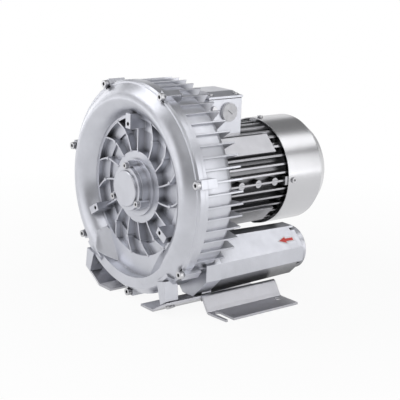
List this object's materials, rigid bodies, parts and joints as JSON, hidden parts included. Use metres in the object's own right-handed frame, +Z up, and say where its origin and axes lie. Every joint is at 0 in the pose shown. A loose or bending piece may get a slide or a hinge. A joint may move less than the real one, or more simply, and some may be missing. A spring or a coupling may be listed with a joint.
{
  "type": "side channel blower",
  "caption": "Single-stage side channel blower with direct-driven impeller, finned motor, terminal box, twin silencers and sheet metal feet.",
  "frame": {"origin": "on the ground, under the shaft, in line with the rear foot holes", "axes": "+Z up, +Y along the shaft from the ribbed cover to the fan cover, +X to the right seen from the cover"},
  "size_m": [0.294, 0.311, 0.2955],
  "materials": {
    "cast_alloy": "fine satin, as blasted die casting",
    "motor_alloy": "satin die casting",
    "brushed_sheet": "smooth satin painted steel sheet",
    "foot_sheet": "satin zinc plated sheet",
    "screw_steel": "zinc plated",
    "bright_steel": "ground",
    "bearing_steel": "polished",
    "lamination": "stacked sheet",
    "copper_wire": "enamelled",
    "brass": "plain",
    "seal_rubber": "matte",
    "grey_plastic": "fine matte",
    "dark_plastic": "matte",
    "liner_foam": "open cell foam"
  },
  "bodies": {
    "root": {"front_cover": "cast_alloy", "front_bearing_cap": "cast_alloy", "front_cap_screws": "screw_steel", "cover_screws": "screw_steel", "impeller_housing": "cast_alloy", "motor_housing": "motor_alloy", "stator_core": "lamination", "stator_winding": "copper_wire", "rear_end_shield": "motor_alloy", "motor_tie_bolts": "screw_steel", "fan_cover": "brushed_sheet", "fan_cover_screws": "screw_steel", "terminal_box_base": "cast_alloy", "terminal_box_gasket": "seal_rubber", "terminal_box_lid": "cast_alloy", "terminal_lid_screws": "screw_steel", "blanking_plugs": "grey_plastic", "earth_screw": "screw_steel", "terminal_board": "dark_plastic", "terminal_studs": "brass", "outlet_silencer": "cast_alloy", "inlet_silencer": "cast_alloy", "silencer_liners": "liner_foam", "outlet_end_cap": "cast_alloy", "inlet_end_cap": "cast_alloy", "right_foot_plate": "foot_sheet", "left_foot_plate": "foot_sheet", "foot_screws": "screw_steel", "front_bearing_outer_ring": "bearing_steel", "rear_bearing_outer_ring": "bearing_steel"},
    "rotor": {"shaft": "bright_steel", "impeller": "cast_alloy", "impeller_key": "bright_steel", "impeller_spacer": "bright_steel", "rotor_core": "lamination", "front_bearing_inner_ring": "bearing_steel", "rear_bearing_inner_ring": "bearing_steel", "cooling_fan": "dark_plastic", "fan_ring": "bright_steel"},
    "front_balls": {"front_ball_set": "bearing_steel"},
    "rear_balls": {"rear_ball_set": "bearing_steel"}
  },
  "joints": [
    {"name": "rotor_spin", "type": "hinge", "parent": "root", "child": "rotor", "pos_m": [0, -0.161, 0.153], "axis": [0, 1, 0], "continuous": true},
    {"name": "front_cage_spin", "type": "hinge", "parent": "root", "child": "front_balls", "pos_m": [0, -0.157, 0.153], "axis": [0, 1, 0], "continuous": true},
    {"name": "rear_cage_spin", "type": "hinge", "parent": "root", "child": "rear_balls", "pos_m": [0, 0.049, 0.153], "axis": [0, 1, 0], "continuous": true}
  ],
  "couplings": [
    {"joint": "front_cage_spin", "follows": "rotor_spin", "ratio": 0.3948},
    {"joint": "rear_cage_spin", "follows": "rotor_spin", "ratio": 0.3791}
  ]
}
